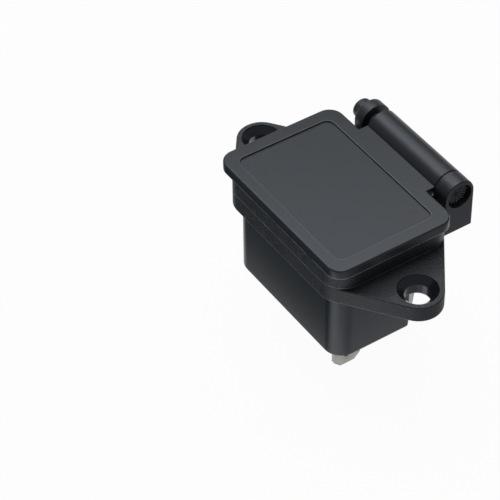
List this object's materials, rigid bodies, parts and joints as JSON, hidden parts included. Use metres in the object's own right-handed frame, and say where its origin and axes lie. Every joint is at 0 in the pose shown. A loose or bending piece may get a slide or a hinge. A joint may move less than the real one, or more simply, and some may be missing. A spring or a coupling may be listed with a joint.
{
  "type": "appliance inlet socket with sprung hinged cover",
  "caption": "Panel-mount C14 appliance inlet socket: keyed rectangular recess with flat blade contacts, eared screw flange, solder tabs behind and a sprung hinged cover over the recess.",
  "frame": {"origin": "midway between the two screw holes, on the underside of the flange, which seats on the panel", "axes": "+X along the screw holes towards the ear that holds the hinge pin's head, +Y towards the hinge, +Z out of the panel"},
  "size_m": [0.0478, 0.0281, 0.0319],
  "materials": {
    "housing_plastic": "black moulded nylon with fine spark-eroded grain",
    "cover_plastic": "black moulded nylon, satin",
    "pin_plastic": "black moulded acetal, smooth",
    "spring_wire": "drawn spring steel wire",
    "plated_brass": "nickel plated, satin"
  },
  "bodies": {
    "housing": {"housing": "housing_plastic", "hinge_pin": "pin_plastic", "cover_spring": "spring_wire", "line_contact": "plated_brass", "neutral_contact": "plated_brass", "earth_contact": "plated_brass"},
    "cover": {"cover": "cover_plastic"}
  },
  "joints": [
    {"name": "cover_hinge", "type": "hinge", "parent": "housing", "child": "cover", "pos_m": [0, 0.01405, 0.00675], "axis": [-1, 0, 0], "range_deg": [0, 105], "stiffness_Nm_per_rad": 0.004, "springref_deg": -68.75, "deforming": ["cover_spring"]}
  ]
}
